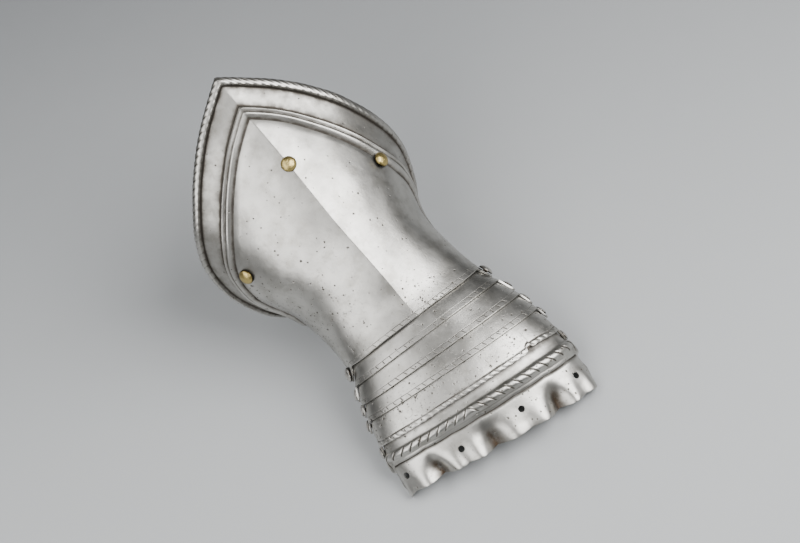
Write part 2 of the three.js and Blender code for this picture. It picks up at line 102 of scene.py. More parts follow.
def spline(xs, ys):
    """A smooth curve through points, straight at both ends: a natural cubic spline."""
    xs, ys = np.array(xs, float), np.array(ys, float)
    gap = np.diff(xs)
    system = np.eye(len(xs))
    right = np.zeros(len(xs))
    for i in range(1, len(xs) - 1):
        system[i, i - 1 : i + 2] = gap[i - 1], 2 * (gap[i - 1] + gap[i]), gap[i]
        right[i] = 6 * ((ys[i + 1] - ys[i]) / gap[i] - (ys[i] - ys[i - 1]) / gap[i - 1])
    bend = np.linalg.solve(system, right)

    def at(x):
        i = np.clip(np.searchsorted(xs, x) - 1, 0, len(xs) - 2)
        a, b, h = xs[i + 1] - x, x - xs[i], gap[i]
        return (
            (bend[i] * a**3 + bend[i + 1] * b**3) / (6 * h)
            + (ys[i] / h - bend[i] * h / 6) * a
            + (ys[i + 1] / h - bend[i + 1] * h / 6) * b
        )

    return at


def smooth(low, high, x):
    """0 below low, 1 above high and an even S between them."""
    t = np.clip((np.asarray(x, float) - low) / (high - low), 0, 1)
    return t * t * (3 - 2 * t)


column = {
    name: spline([row[0] for row in SECTIONS], [row[k] for row in SECTIONS])
    for k, name in enumerate(SECTION_COLUMNS)
    if k > 0
}


def form(at, angle):
    """Points of the form at places along the arm and angles from the crown, thumb positive."""
    at, angle = np.broadcast_arrays(np.asarray(at, float), np.asarray(angle, float))
    s, c = np.sin(angle * RAD), np.cos(angle * RAD)
    n = np.where(c >= 0, CROWN_SQUARENESS, UNDER_SQUARENESS)
    k = (np.abs(s) ** n + np.abs(c) ** n) ** (1 / n)
    half = column["half"](at)
    u = half * s / k
    w = np.where(c >= 0, column["rise"](at), column["drop"](at)) * c / k
    to_crown = np.where(c > 0, 1 - np.abs(u) / half, 0)
    w = w + column["keel"](at) * to_crown**2
    across = u + column["skew"](at) * to_crown**3
    lean, turn = column["lean"](at) * RAD, column["turn"](at) * RAD
    back = -w * np.sin(lean)
    return np.stack(
        [
            column["x"](at) + across * np.cos(turn) + back * np.sin(turn),
            column["y"](at) - across * np.sin(turn) + back * np.cos(turn),
            column["z"](at) + w * np.cos(lean),
        ],
        axis=-1,
    )


def unit(v):
    return v / np.linalg.norm(v, axis=-1, keepdims=True)


def outward(at, angle, step=0.05):
    """The direction straight out of the form."""
    along = form(np.add(at, step), angle) - form(np.subtract(at, step), angle)
    around = form(at, np.add(angle, step)) - form(at, np.subtract(angle, step))
    return unit(np.cross(around, along))


def on_form(at, angle, height):
    return form(at, angle) + outward(at, angle) * np.asarray(height, float)[..., None]


print("form: width at the wrist", round(2 * float(column["half"](0)), 1), "mm")

# %% [markdown]
# ## Standing the form where the frame stands
# The form is drawn with the arm level. The real gauntlet lies palm down on the lower corners
# of the knuckle plate and the underside of the cuff, so it is pitched and rolled a little.
# The last shift could be typed in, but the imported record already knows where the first
# hinge is, so the shift is measured from that hinge and stays right if the part is repacked.

# %% Plates, hinges and the place on the floor
REST_PITCH = 10.92
REST_ROLL = -1.22
CUFF_SHEET = 1.2
LAME_SHEET = 1.0
RUNNING_GAP = 0.7
HIDDEN_SLOPE = 0.19
LOBE_REACH = 4.6
END_ANGLE = 97
TAB_STATION = -75.5
CUFF_EDGE = 5.4
KNUCKLE = 4

# tuck: hidden upper edge at the crown; edge: visible lower edge
# pivot, round: place along the arm and angle of the rivets to the plate above
PLATE_COLUMNS = ["name", "tuck", "edge", "pivot", "round"]
PLATES = [
    ["lame_1", 11.4, -5.9, 1.8, 84.5],
    ["lame_2", 0.2, -18.0, -10.7, 88],
    ["lame_3", -12.0, -28.9, -21.2, 88],
    ["lame_4", -22.9, -44.2, -31.4, 88],
    ["knuckle_plate", -38.0, -79.4, -48.0, 87],
]
plate = [dict(zip(PLATE_COLUMNS, row)) for row in PLATES]

# round: distance round the knuckles from the crown; finger: count of finger openings passed
# edge: place of the free edge; hole: place of the lining hole, 0 for none
FINGERS = [
    [-70.0, -2.0, -74.2, 0],
    [-54.0, -1.5, -73.0, -63.6],
    [-37.6, -1.0, -73.4, 0],
    [-21.9, -0.5, -75.0, -66.6],
    [-5.2, 0.0, -76.2, 0],
    [15.0, 0.5, -77.6, -66.2],
    [34.2, 1.0, -78.4, 0],
    [49.8, 1.5, -79.0, -68.0],
    [67.0, 2.0, -78.0, 0],
]
finger_at = spline([r[0] for r in FINGERS], [r[1] for r in FINGERS])
free_edge_at = spline([r[0] for r in FINGERS], [r[2] for r in FINGERS])

fine_angles = np.linspace(-END_ANGLE, END_ANGLE, 1941)
KNUCKLE_LINE = -72


def distance_round(at, angles):
    """Distance along the form at one place on the arm, 0 at the crown."""
    points = form(np.full_like(angles, at), angles)
    run = np.concatenate([[0], np.cumsum(np.linalg.norm(np.diff(points, axis=0), axis=1))])
    return run - np.interp(0, angles, run)


fine_rounds = distance_round(KNUCKLE_LINE, fine_angles)


def round_at(angle):
    return np.interp(angle, fine_angles, fine_rounds)


def plate_run(k, angle):
    """Upper edge, lower edge and the end of the plate above, at each angle of plate k."""
    side = smooth(76, 86, np.abs(angle))
    above = CUFF_EDGE if k == 0 else plate[k - 1]["edge"]
    side_low = TAB_STATION if k == KNUCKLE else plate[k + 1]["pivot"] - LOBE_REACH
    low = free_edge_at(round_at(angle)) if k == KNUCKLE else plate[k]["edge"]
    top = plate[k]["tuck"] + side * (plate[k]["pivot"] + LOBE_REACH - plate[k]["tuck"])
    edge = low + side * (side_low - low)
    over = above + side * (plate[k]["pivot"] - LOBE_REACH - above)
    return top, edge, over


def plate_height(k, at, edge, over):
    """Height of plate k: level at its lower edge, one step down under the plate above."""
    step = (CUFF_SHEET if k == 0 else LAME_SHEET) + RUNNING_GAP
    hidden = -step - HIDDEN_SLOPE * (at - over)
    shown = -step * np.maximum(0, (at - edge) / (over - edge))
    return np.where(at >= over, hidden, shown)


def parent_height(k, at, angle):
    """Height of the surface that the head of rivet pair k sits on."""
    if k == 0:
        return np.zeros_like(np.asarray(at, float))
    _, edge, over = plate_run(k - 1, angle)
    return plate_height(k - 1, at, edge, over)


def rivet_foot(k, side):
    """Foot and outward direction of a side rivet, in the drawing's millimetres."""
    at, angle = plate[k]["pivot"], side * plate[k]["round"]

    def here(a, b):
        return on_form(a, b, parent_height(k, a, b))

    along = here(at + 0.5, angle) - here(at - 0.5, angle)
    around = here(at, angle + 0.5) - here(at, angle - 0.5)
    return here(at, angle), unit(np.cross(around, along))


attitude = Matrix.Rotation(REST_ROLL * RAD, 3, "Y") @ Matrix.Rotation(REST_PITCH * RAD, 3, "X")
turned = np.array(attitude)
wrist_axis = (rivet_foot(0, 1)[0] + rivet_foot(0, -1)[0]) / 2
first_hinge = next(j for j in frame["joints"] if j["child"] == "lame_1")
shift = np.array(first_hinge["pos_m"]) - turned @ wrist_axis * MM


def placed(points):
    """Millimetres of the drawing to metres of the frame."""
    return np.asarray(points) @ turned.T * MM + shift


print("shift from drawing to frame in mm:", (shift / MM).round(2))

# %% [markdown]
# ## Soft waves of the hammer
# Hand-raised plate is never a perfect surface: planishing leaves shallow waves, a tenth of a
# millimetre high and a few centimetres long, and they are what makes the highlights wander.
# A noise texture could push the surface at render time, but real waves in the mesh also
# show in the outline of the light, so a few crossing waves are summed with a fixed seed.

# %% Hammer waves
WAVE_HEIGHT = 0.05
WAVE_COUNT = 9
dice = np.random.default_rng(15)
wave_direction = unit(dice.normal(size=(WAVE_COUNT, 3)))
wave_length = dice.uniform(16, 44, WAVE_COUNT)
wave_start = dice.uniform(0, 2 * np.pi, WAVE_COUNT)


def hammered(points):
    """Height of the hammer waves at points of the drawing."""
    phase = points @ wave_direction.T * 2 * np.pi / wave_length + wave_start
    return WAVE_HEIGHT * np.sin(phase).sum(axis=-1)


def raised(at, angle, height):
    """Points at a height over the form, with the hammer waves added."""
    base = form(at, angle)
    return base + outward(at, angle) * (np.asarray(height, float) + hammered(base))[..., None]


def flowing(rows, col=1):
    """A curve through rows that never swings past them: cubic with limited slopes."""
    rows = sorted(rows)
    xs = np.array([r[0] for r in rows], float)
    ys = np.array([r[col] for r in rows], float)
    rise = np.diff(ys) / np.diff(xs)
    same_way = rise[:-1] * rise[1:] > 0
    middle = np.where(same_way, 2 * rise[:-1] * rise[1:] / (rise[:-1] + rise[1:] + 1e-12), 0)
    slope = np.concatenate([[0], middle, [0]])

    def at(x):
        x = np.clip(x, xs[0], xs[-1])
        i = np.clip(np.searchsorted(xs, x) - 1, 0, len(xs) - 2)
        h = xs[i + 1] - xs[i]
        t = (x - xs[i]) / h
        return (
            ys[i] * (1 + 2 * t) * (1 - t) ** 2
            + slope[i] * h * t * (1 - t) ** 2
            + ys[i + 1] * t * t * (3 - 2 * t)
            + slope[i + 1] * h * t * t * (t - 1)
        )

    return at


print("hammer waves up to", round(WAVE_HEIGHT * WAVE_COUNT, 2), "mm")

# %% [markdown]
# ## Notes that the mesh carries for its finish
# Dirt sits in grooves, and engraved strokes follow the edges; painted shade darkens a plate
# just under the edge of the plate above. A painted texture could hold that, but these plates
# know where their own grooves and edges are, so every vertex carries two notes that the material
# reads:
# "engraving" (distance along the strokes, distance across their band, how deep they are) and a
# darkening note (dirt in hollows, painted shade under plate edges and in creases, rust pits, brown
# stain).

# %% Giving a primitive its shape and its notes


def clear_selection():
    if bpy.context.object and bpy.context.object.mode != "OBJECT":
        bpy.ops.object.mode_set(mode="OBJECT")
    bpy.ops.object.select_all(action="DESELECT")


def finished_primitive(name):
    piece = bpy.context.object
    piece.name = piece.data.name = name
    return piece


def shape_vertices(piece, points):
    """Move every vertex to its place, given in the drawing's millimetres."""
    piece.matrix_world = Matrix.Identity(4)
    piece.data.vertices.foreach_set("co", placed(points).reshape(-1))
    piece.data.update()


def note(piece, name, values):
    """Keep three numbers a vertex under a name that the materials read."""
    layer = piece.data.attributes.new(name, "FLOAT_VECTOR", "POINT")
    layer.data.foreach_set("vector", np.asarray(values, np.float32).reshape(-1))


def choose(piece):
    """Make one piece the only one that an operator acts on."""
    clear_selection()
    piece.select_set(True)
    bpy.context.view_layer.objects.active = piece


def close_and_face_outward(piece):
    """Merge the edges that meet, and turn every face outward."""
    choose(piece)
    bpy.ops.object.mode_set(mode="EDIT")
    bpy.ops.mesh.select_all(action="SELECT")
    bpy.ops.mesh.remove_doubles(threshold=0.001 * MM)
    bpy.ops.mesh.normals_make_consistent(inside=False)
    bpy.ops.object.mode_set(mode="OBJECT")


def falloff_near(distance, width):
    """A bell, 1 at the middle and thinning out beside it: for dirt in a groove, painted shadow
    under a plate edge, rust patches and the shape of cuts.
    """
    return np.exp(-((distance / width) ** 2))


print("two notes a vertex: engraving and wear")

# %% [markdown]
# ## The cuff
# The cuff is one sheet raised to a cone with a medial ridge, closed under the wrist. Its
# upper edge is turned over a wire and filed into a rope, and behind it run a sunken band
# and a double rib. The smith starts from a flat sheet, and so does this: one side of a fine
# flat grid runs round the arm and the other runs over the metal, from the wrist edge over
# the rope and back inside. Each vertex is laid on its place, and the meeting edges are
# merged, which closes the cuff. A torus primitive stops at 256 rings, too few for the rope.

# %% Lines of the cuff
# angle round from the crown, and the place along the arm of the outer edge there on the
# little-finger side and on the thumb side
RIM = [
    [0, 166.4, 166.4],
    [18, 153.4, 152.6],
    [37, 137.1, 135.6],
    [50, 126.0, 122.6],
    [60, 118.3, 112.8],
    [79, 100.8, 96.4],
    [95, 81.4, 79.6],
    [120, 65.0, 64.6],
    [150, 57.5, 57.5],
    [180, 56.0, 56.0],
]
# the same for the wrist edge, which dips toward the fingers to hold the wrist rivets
WRIST_EDGE = [
    [0, 5.4],
    [30, 5.5],
    [62, 5.4],
    [75, 3.6],
    [85, -2.2],
    [94, -1.6],
    [110, 7.0],
    [140, 17.0],
    [180, 20.0],
]
# in: distance in from the outer edge; height over the form; soil: dirt in the grooves, with painted
# shade in the crease at the root of the rope and across the sunken band
BORDER = [
    [4.2, 1.5, 1.3],
    [5.0, 1.85, 0.8],
    [6.4, 1.5, 0.5],
    [10.0, 0.6, 0.36],
    [13.2, 0.05, 0.6],
    [14.2, -0.15, 1.2],
    [15.0, 1.0, 0.35],
    [16.0, 1.95, 0.0],
    [17.1, 1.1, 0.8],
    [18.2, 1.65, 0.15],
    [19.8, 0.6, 0.5],
    [20.6, -0.35, 1.0],
    [21.6, 0.0, 0.3],
    [23.8, 0.0, 0.0],
]
BORDER_INSIDE = [[4.6, 1.9], [14.2, 0.0], [17.2, 0.7], [20.7, -0.3], [21.6, 0.0]]
BODY_STARTS = 21.6
BEAD_RADIUS = 2.4
BEAD_HEIGHT = 2.0
BEAD_FROM, BEAD_TO = -40, 230
THUMB_SIDE_WIDER = 0.22
ROPE_PITCH = 4.2
ROPE_DEPTH = 0.75
ROPE_SLANT = 1.4

rim_little = spline([r[0] for r in RIM], [r[1] for r in RIM])
rim_thumb = spline([r[0] for r in RIM], [r[2] for r in RIM])
wrist_at = spline([r[0] for r in WRIST_EDGE], [r[1] for r in WRIST_EDGE])
border_height = flowing(BORDER)
border_darkening = flowing(BORDER, 2)
inside_height = flowing(BORDER_INSIDE)


def rim_at(angle):
    """Place along the arm of the outer edge, thumb side positive."""
    size = np.abs(angle)
    return np.where(np.asarray(angle) < 0, rim_little(size), rim_thumb(size))


def rim_stretch(angle):
    """How much longer a step across the border is, measured along the arm."""
    side = -1 if angle < 0 else 1
    a = max(abs(angle), 3)
    here = rim_at(side * a)
    slope = (rim_at(side * min(a + 1, 180)) - rim_at(side * (a - 1))) / 2
    arc = np.linalg.norm(form(here, a + 0.5) - form(here, a - 0.5))
    return min(1.35, np.hypot(1, slope / arc))


# %% Rings of the cuff, evenly spaced along the rope
CUFF_RINGS = 600


def even_angles(start, stop, count):
    """Angles whose points on the rim are evenly spaced."""
    fine = np.linspace(start, stop, 2001)
    points = form(rim_at(fine), fine)
    run = np.concatenate([[0], np.cumsum(np.linalg.norm(np.diff(points, axis=0), axis=1))])
    steps = np.linspace(0, run[-1], count, endpoint=False)
    return np.interp(steps, run, fine), steps, run[-1]


little, little_run, little_total = even_angles(-180, 0, CUFF_RINGS // 2)
thumb, thumb_run, thumb_total = even_angles(0, 180, CUFF_RINGS // 2)
ring_angle = np.concatenate([little, thumb])
ring_run = np.concatenate([little_run, little_total + thumb_run])
rim_length = little_total + thumb_total
strands = round(rim_length / ROPE_PITCH)
print("rope edge:", round(rim_length), "mm round,", strands, "strands")

# %% Rows of the cuff's section, closest where the engraving and the ribs need them
EDGE_CHAMFER = 0.25
ENGRAVED_SHARE = 0.12
BORDER_ROW = 0.44
engraved_rows = np.linspace(0, ENGRAVED_SHARE, 9)[1:]
plain_rows = np.linspace(ENGRAVED_SHARE, 1, 27)[1:-1]
body_rows = np.concatenate([engraved_rows, plain_rows])
border_rows = np.arange(BODY_STARTS, BORDER[0][0], -BORDER_ROW)
bead_rows = np.linspace(BEAD_FROM, BEAD_TO, 22) * RAD
inside_rows = np.array([5.5, 8, 11, 14.2, 15.6, 17.2, 18.7, 20.1, 21.1])
back_rows = np.linspace(1, 0, 22)[:-1]
print("rows:", len(body_rows), "body,", len(border_rows), "border,", len(bead_rows), "rope")

# %% The section of the cuff
# the file cut the rope's outer half deepest; dirt stays in the cuts and inside the cuff
STRAND_SHARPNESS = 0.55
CUT_EVERYWHERE = 0.25
CUT_FROM, CUT_FULL = -0.3, 0.6
CUT_FADES, CUT_ENDS = 2.6, 3.8
ROPE_SOIL, INSIDE_SOIL, EDGE_SOIL = 1.6, 0.5, 0.3


def cuff_section(angle, run):
    """One ring: place along the arm, height, and darkening from dirt and from painted shade."""
    size = abs(angle)
    wider = smooth(4, 42, angle) * (1 - smooth(100, 150, angle))
    stretch = rim_stretch(angle) * (1 + THUMB_SIDE_WIDER * wider)
    rim, wrist = rim_at(angle), wrist_at(size)
    body_start = rim - BODY_STARTS * stretch
    at = [wrist + EDGE_CHAMFER]
    height = [0.0]
    darkening = [0.0]
    for f in body_rows:
        at.append(wrist + EDGE_CHAMFER + f * (body_start - wrist - EDGE_CHAMFER))
        height.append(0.0)
        darkening.append(0.0)
    for d in border_rows:
        at.append(rim - d * stretch)
        height.append(border_height(d))
        darkening.append(border_darkening(d))
    for a in bead_rows:
        phase = run / rim_length * strands + ROPE_SLANT * BEAD_RADIUS * a / ROPE_PITCH
        strand = np.abs(np.sin(np.pi * phase)) ** STRAND_SHARPNESS
        outer = smooth(CUT_FROM, CUT_FULL, a)
        cut = ROPE_DEPTH * (CUT_EVERYWHERE + (1 - CUT_EVERYWHERE) * outer)
        cut = cut * (1 - smooth(CUT_FADES, CUT_ENDS, a))
        radius = BEAD_RADIUS - cut * (1 - strand)
        at.append(rim - (BEAD_RADIUS - radius * np.sin(a)) * stretch)
        height.append(BEAD_HEIGHT + radius * np.cos(a))
        darkening.append(ROPE_SOIL * (1 - strand) ** 1.2 * (0.35 + 0.65 * outer))
    for d in inside_rows:
        at.append(rim - d * stretch)
        height.append(inside_height(d) - CUFF_SHEET)
        darkening.append(INSIDE_SOIL)
    for f in back_rows:
        at.append(wrist + EDGE_CHAMFER + f * (body_start - wrist - EDGE_CHAMFER))
        height.append(-CUFF_SHEET)
        darkening.append(INSIDE_SOIL)
    at += [wrist + EDGE_CHAMFER, wrist, wrist]
    height += [-CUFF_SHEET, -CUFF_SHEET + EDGE_CHAMFER, -EDGE_CHAMFER]
    darkening += [EDGE_SOIL] * 3
    return np.array(at), np.array(height), np.array(darkening)


sections = [cuff_section(a, r) for a, r in zip(ring_angle, ring_run)]
cuff_at = np.array([s[0] for s in sections])
cuff_height = np.array([s[1] for s in sections])
cuff_darkening = np.array([s[2] for s in sections])
section_points = cuff_at.shape[1]
print("cuff section:", section_points, "points, times", CUFF_RINGS, "rings")

# %% The cuff itself
STROKE_SLANT = 0.55
NO_STROKES = 99.0
ENGRAVED_TO = 100
# rust has pitted the metal in patches; angle, at: middle of a patch
# squeeze: how much narrower it is along the arm; reach: how far it spreads
RUST_PATCHES = [
    [12, 12, 1.5, 16],
    [-70, 45, 1.0, 34],
]
RUST_ALL_OVER = 0.12


def add_sheet(name, columns, rows):
    """A flat grid; returns it with each vertex's share of the way across and down."""
    clear_selection()
    bpy.ops.mesh.primitive_grid_add(
        x_subdivisions=columns, y_subdivisions=rows, size=1, calc_uvs=False
    )
    piece = finished_primitive(name)
    flat = np.empty(len(piece.data.vertices) * 3)
    piece.data.vertices.foreach_get("co", flat)
    flat = flat.reshape(-1, 3)
    return piece, flat[:, 0] + 0.5, 0.5 - flat[:, 1]


cuff, across, down = add_sheet("cuff_plate", CUFF_RINGS, section_points)
ring = np.round(across * CUFF_RINGS).astype(int) % CUFF_RINGS
point = np.round(down * section_points).astype(int) % section_points
wrist_line = wrist_at(np.abs(ring_angle))
wrist_points = form(wrist_line, ring_angle)
wrist_run = np.concatenate(
    [[0], np.cumsum(np.linalg.norm(np.diff(wrist_points, axis=0), axis=1))]
)
at, height, darkening = cuff_at[ring, point], cuff_height[ring, point], cuff_darkening[ring, point]
angle = ring_angle[ring]
shape_vertices(cuff, raised(at, angle, height))
from_edge = at - wrist_line[ring]
along_stroke = wrist_run[ring] + STROKE_SLANT * from_edge
on_top = (np.abs(angle) < ENGRAVED_TO) & (height > -0.01)
strokes = np.where(on_top, from_edge, NO_STROKES)
note(cuff, "engraving", np.stack([along_stroke, strokes, on_top * 1.0], axis=-1))
pitted = np.full_like(at, RUST_ALL_OVER)
for patch_angle, patch_at, squeeze, reach in RUST_PATCHES:
    off_patch = np.hypot(angle - patch_angle, (at - patch_at) * squeeze)
    pitted = pitted + falloff_near(off_patch, reach)
note(cuff, "wear_and_shade", np.stack([darkening, pitted, 0 * darkening], axis=-1))
close_and_face_outward(cuff)
print("cuff:", len(cuff.data.polygons), "faces")

# %% [markdown]
# ## The lames
# Each lame is a strip of sheet, rounded at its lower corners, that tucks under the plate
# above. A flat grid is that strip before it is bent: its x runs round the hand and its y
# from the hidden upper edge to the engraved lower one. Bending it with a modifier would not
# follow the form, so each vertex is laid on the form by its place in the flat grid, and
# then a Solidify modifier gives the strip the thickness of the real sheet, on the inside.

# %% Flat strips laid on the form
LAME_COLUMNS = 330
EDGE_BAND = 3.6
BAND_ROWS = 13
HIDDEN_ROWS = 16
CORNER = 3.2
KNUCKLE_CORNER = 7.0
EDGE_BEVEL = 0.16
ENGRAVED_ENDS = 84


def corner_inset(distance, radius):
    """How far a rounded corner cuts in, at a distance from the end of the strip."""
    reach = np.clip(radius - distance, 0, radius)
    return radius - np.sqrt(radius**2 - reach**2)


def angles_round(at, share):
    """Angles at even distances round the plate, and the distance from its nearer end."""
    run = distance_round(at, fine_angles)
    here = run[0] + share * (run[-1] - run[0])
    return np.interp(here, run, fine_angles), here, np.minimum(here - run[0], run[-1] - here)


def apply_modifier(piece, kind, **settings):
    choose(piece)
    modifier = piece.modifiers.new(kind.title(), kind)
    for key, value in settings.items():
        setattr(modifier, key, value)
    bpy.ops.object.modifier_apply(modifier=modifier.name)


def turn_outward(piece, direction):
    """Flip the faces if they look into the form; direction is outward at each vertex."""
    mesh = piece.data
    normals = np.empty(len(mesh.vertices) * 3)
    mesh.vertices.foreach_get("normal", normals)
    agree = (normals.reshape(-1, 3) * (direction @ turned.T)).sum(axis=1).mean()
    if agree < 0:
        choose(piece)
        bpy.ops.object.mode_set(mode="EDIT")
        bpy.ops.mesh.select_all(action="SELECT")
        bpy.ops.mesh.flip_normals()
        bpy.ops.object.mode_set(mode="OBJECT")


def to_sheet(piece, thickness):
    apply_modifier(
        piece, "SOLIDIFY", thickness=thickness * MM, offset=-1, use_even_offset=False
    )
    apply_modifier(
        piece, "BEVEL", width=EDGE_BEVEL * MM, segments=2, limit_method="ANGLE",
        angle_limit=60 * RAD,
    )


# %% The four lames
# rust: how pitted each lame is all over; rust_little: how much more to its little-finger side
LAME_RUST = [0.15, 0.2, 0.3, 0.6]
LAME_RUST_LITTLE = [0.0, 0.0, 0.36, 0.9]
# painted shadow line: how dark each lame is painted just under the edge of the plate above
PAINTED_SHADOW_LINE = 0.45
LAST_LAME = 3
PAD_PITCH = 4.1
PAD_HEIGHT = 0.28
PAD_SLANT = 0.7
PAD_GROOVE = 2.85
PAD_SOIL, CHIP_SOIL = 0.9, 1.8
CHIP_AT = 37.0
CHIP_HALF = 1.9
CHIP_DEPTH = 1.9
SPRUNG = 1.3

lames = []
for k in range(KNUCKLE):
    rows = HIDDEN_ROWS + BAND_ROWS
    piece, share, down = add_sheet(plate[k]["name"] + "_plate", LAME_COLUMNS, rows)
    middle = (plate[k]["tuck"] + plate[k]["edge"]) / 2
    angle, around, to_end = angles_round(middle, share)
    top, edge, over = plate_run(k, angle)
    top = top - corner_inset(to_end, CORNER)
    edge = edge + corner_inset(to_end, CORNER)
    if k == LAST_LAME:
        # the lower edge of the last lame has lost a chip, and its end has sprung back
        beside = around - CHIP_AT
        edge = edge + CHIP_DEPTH * np.clip(1 - np.abs(beside) / CHIP_HALF, 0, 1) ** 0.6
        edge = edge + SPRUNG * smooth(0.2, 1.4, beside) * (1 - smooth(4, 20, beside))
    row = np.round(down * rows)
    in_band = np.maximum(row - HIDDEN_ROWS, 0) / BAND_ROWS
    above_band = np.minimum(row, HIDDEN_ROWS) / HIDDEN_ROWS
    band_top = edge + EDGE_BAND
    at = np.where(
        row <= HIDDEN_ROWS,
        top + above_band * (band_top - top),
        band_top + in_band * (edge - band_top),
    )
    height = plate_height(k, at, edge, over)
    from_edge = at - edge
    # painted shadow: each lame is darkened just under the edge of the plate above, where that edge
    # shades it
    darkening = PAINTED_SHADOW_LINE * falloff_near(at - over, 0.9)
    if k == LAST_LAME:
        # its band is raised into slanted pads, with a groove above them
        phase = (around + PAD_SLANT * from_edge) / PAD_PITCH
        pad = np.abs(np.sin(np.pi * phase)) ** 0.6
        width = smooth(0.1, 0.7, from_edge) * (1 - smooth(2.1, 2.7, from_edge))
        height = height + PAD_HEIGHT * pad * width - 0.15 * falloff_near(from_edge - 2.8, 0.35)
        darkening = darkening + PAD_SOIL * (1 - pad) ** 1.4 * width
        darkening = darkening + PAD_SOIL * falloff_near(from_edge - PAD_GROOVE, 0.4)
        darkening = darkening * (0.7 + 0.5 * np.sin(around / 9.0) ** 2)
        darkening = darkening + CHIP_SOIL * falloff_near(beside, CHIP_HALF) * falloff_near(from_edge, 0.9)
    shape_vertices(piece, raised(at, angle, height))
    turn_outward(piece, outward(at, angle))
    along_stroke = around + STROKE_SLANT * from_edge
    strokes = np.where(np.abs(angle) < ENGRAVED_ENDS, from_edge, NO_STROKES)
    engraved = np.full_like(at, 0.0 if k == LAST_LAME else 1.0)
    note(piece, "engraving", np.stack([along_stroke, strokes, engraved], axis=-1))
    pitted = LAME_RUST[k] + LAME_RUST_LITTLE[k] * smooth(20, -60, around)
    note(piece, "wear_and_shade", np.stack([darkening, pitted, 0 * at], axis=-1))
    to_sheet(piece, LAME_SHEET)
    lames.append(piece)
    print(piece.name + ":", len(piece.data.polygons), "faces")

# %% [markdown]
# ## The knuckle plate
# The last plate steps down into a channel, rises to a bold ridge cut like a rope, has an
# incised groove and then flares into a flange with a hollow between each two fingers. It
# is the same flat strip as a lame, with more rows because its profile has more in it.

# %% Sizes of the profile, the ridge and the flange
# at: place along the arm at the crown; height over the form; soil: dirt in the hollow, and in the
# first two rows painted shadow under the edge of the last lame
KNUCKLE_PROFILE = [
    [-44.2, -1.7, 0.7],
    [-46.6, -1.45, 0.3],
    [-49.0, -0.9, 0.2],
    [-50.2, -0.4, 0.4],
    [-51.0, 0.8, 0.0],
    [-52.0, 1.45, 0.0],
    [-53.3, 1.65, 0.0],
    [-54.6, 1.4, 0.0],
    [-55.6, 0.7, 0.0],
    [-56.4, -0.05, 0.15],
    [-57.9, -0.2, 0.1],
    [-58.8, -0.45, 0.3],
    [-59.3, -1.05, 1.0],
    [-59.9, -0.45, 0.5],
    [-60.9, -0.1, 0.15],
    [-66.0, 0.2, 0.05],
    [-73.0, 0.7, 0.05],
    [-79.4, 1.4, 0.1],
]
KNUCKLE_COLUMNS = 440
KNUCKLE_HIDDEN_ROWS = 8
KNUCKLE_ROWS = 68
FLANGE_START = -60.5
VALLEY_DEPTH = 3.6
CREASE = 1.6
LOBE = 0.9
RIDGE_AT = -53.3
RIDGE_HALF = 2.5
RIDGE_PITCH = 5.3
RIDGE_SLANT = 0.8
RIDGE_TURNS = -8.0
RIDGE_CUT = 0.42
RIDGE_CUT_WIDTH = 0.42
RIDGE_CUT_TO = 74
FINGERS_END, SIDES_START = 56, 66
CREASE_WIDTH = 0.09
RIDGE_SOIL, CREASE_SOIL = 1.5, 0.7

knuckle_height = flowing(KNUCKLE_PROFILE)
knuckle_darkening = flowing(KNUCKLE_PROFILE, 2)
print("knuckle ridge", round(float(knuckle_height(RIDGE_AT)), 2), "mm high")

# %% The outline of the knuckle plate, with lobes between the valleys
piece, share, down = add_sheet(
    "knuckle_plate_plate", KNUCKLE_COLUMNS, KNUCKLE_HIDDEN_ROWS + KNUCKLE_ROWS
)
angle, around, to_end = angles_round(FLANGE_START, share)
top, edge, over = plate_run(KNUCKLE, angle)
top = top - corner_inset(to_end, CORNER)
knuckle_round = round_at(angle)
turn = 2 * np.pi * finger_at(knuckle_round)
fade = 1 - smooth(FINGERS_END, SIDES_START, np.abs(knuckle_round))
edge = edge - LOBE * np.abs(np.sin(turn)) * fade + corner_inset(to_end, KNUCKLE_CORNER)
row = np.round(down * (KNUCKLE_HIDDEN_ROWS + KNUCKLE_ROWS))
shown = np.maximum(row - KNUCKLE_HIDDEN_ROWS, 0) / KNUCKLE_ROWS
hidden = np.minimum(row, KNUCKLE_HIDDEN_ROWS) / KNUCKLE_HIDDEN_ROWS
at = np.where(
    row <= KNUCKLE_HIDDEN_ROWS, top + hidden * (over - top), over + shown * (edge - over)
)
print("free edge from", at.min().round(1), "mm along the arm")

# %% The heights of the knuckle plate: waves of the flange and cuts of the ridge
first, last = KNUCKLE_PROFILE[0][0], KNUCKLE_PROFILE[-1][0]
nominal = first + shown * (last - first)
wave = VALLEY_DEPTH * fade * (-0.62 * np.cos(turn) - 0.38 * np.cos(2 * turn))
from_valley = ((finger_at(knuckle_round) + 0.5) % 1) - 0.5
wave = wave - CREASE * falloff_near(from_valley, CREASE_WIDTH) * fade
flare = smooth(-FLANGE_START, -last, -nominal)
from_ridge = nominal - RIDGE_AT
side = np.where(knuckle_round > RIDGE_TURNS, 1, -1)
stroke = side * (knuckle_round - RIDGE_TURNS) + RIDGE_SLANT * from_ridge
cut = falloff_near((((stroke / RIDGE_PITCH) % 1) - 0.5) * RIDGE_PITCH, RIDGE_CUT_WIDTH)
on_ridge = 1 - smooth(RIDGE_HALF - 0.5, RIDGE_HALF + 0.2, np.abs(from_ridge))
on_ridge = on_ridge * (np.abs(knuckle_round) < RIDGE_CUT_TO)
height = np.where(
    row <= KNUCKLE_HIDDEN_ROWS,
    plate_height(KNUCKLE, at, edge, over),
    knuckle_height(nominal) + wave * flare - RIDGE_CUT * cut * on_ridge,
)
valley = falloff_near(from_valley, 0.1) * fade * smooth(64, 73, -nominal)
